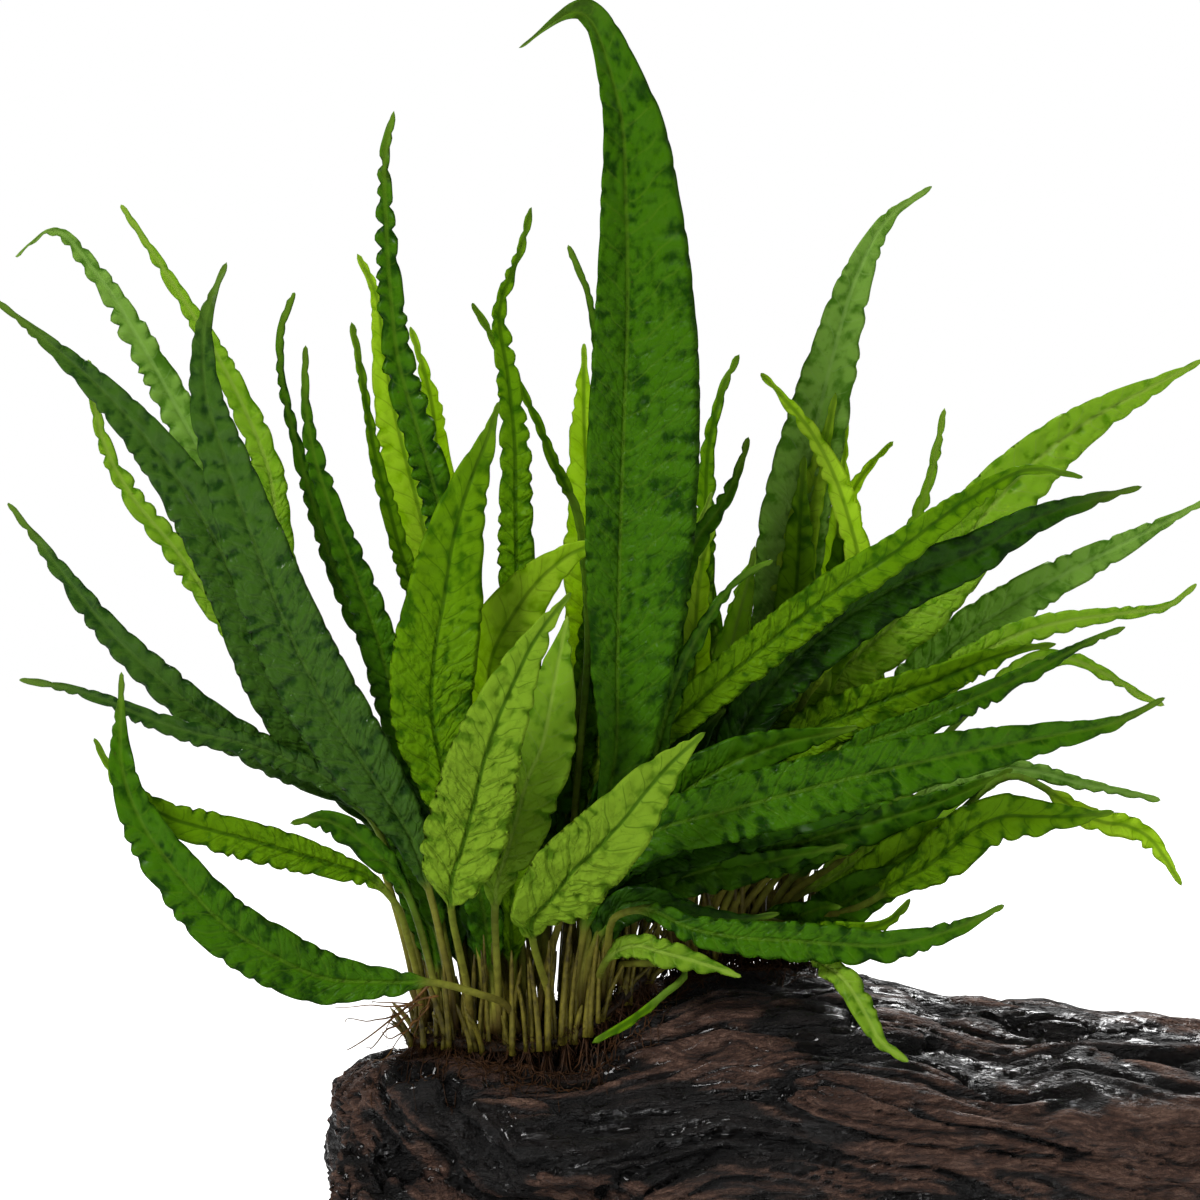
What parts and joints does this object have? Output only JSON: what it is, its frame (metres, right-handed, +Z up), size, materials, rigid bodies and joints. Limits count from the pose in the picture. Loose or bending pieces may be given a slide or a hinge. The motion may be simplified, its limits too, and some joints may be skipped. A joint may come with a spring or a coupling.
{
  "type": "java fern on driftwood",
  "caption": "Clump of long ruffled fern fronds fanned out from creeping rhizomes that grip a dark weathered piece of driftwood, sawn flat underneath so that it stands.",
  "frame": {"origin": "on the wood's flat sawn underside, below the gap between the plant's two crowns", "axes": "+Z up, away from the sawn underside; +X along the wood's grain towards its thicker end; -Y the plant's front"},
  "size_m": [0.3277, 0.0999, 0.3351],
  "materials": {
    "wood": "waterlogged, near black with red-brown ridges, wet gloss",
    "rhizome": "olive-brown, scaly, satin",
    "root": "fine brown fibres, dull",
    "frond": "wet satin green, netted veins, lets light through"
  },
  "bodies": {
    "root": {"aerial_root": "root", "bare_stalk": "frond", "driftwood": "wood", "frond_left_1": "frond", "frond_left_10": "frond", "frond_left_11": "frond", "frond_left_12": "frond", "frond_left_13": "frond", "frond_left_2": "frond", "frond_left_3": "frond", "frond_left_4": "frond", "frond_left_5": "frond", "frond_left_6": "frond", "frond_left_7": "frond", "frond_left_8": "frond", "frond_left_9": "frond", "frond_middle_1": "frond", "frond_middle_10": "frond", "frond_middle_11": "frond", "frond_middle_12": "frond", "frond_middle_13": "frond", "frond_middle_2": "frond", "frond_middle_3": "frond", "frond_middle_4": "frond", "frond_middle_5": "frond", "frond_middle_6": "frond", "frond_middle_7": "frond", "frond_middle_8": "frond", "frond_middle_9": "frond", "frond_right_1": "frond", "frond_right_10": "frond", "frond_right_11": "frond", "frond_right_12": "frond", "frond_right_13": "frond", "frond_right_14": "frond", "frond_right_15": "frond", "frond_right_16": "frond", "frond_right_17": "frond", "frond_right_18": "frond", "frond_right_19": "frond", "frond_right_2": "frond", "frond_right_20": "frond", "frond_right_21": "frond", "frond_right_22": "frond", "frond_right_23": "frond", "frond_right_24": "frond", "frond_right_25": "frond", "frond_right_26": "frond", "frond_right_27": "frond", "frond_right_28": "frond", "frond_right_3": "frond", "frond_right_4": "frond", "frond_right_5": "frond", "frond_right_6": "frond", "frond_right_7": "frond", "frond_right_8": "frond", "frond_right_9": "frond", "rhizome_left": "rhizome", "rhizome_right": "rhizome", "root_mat": "root"}
  },
  "joints": []
}
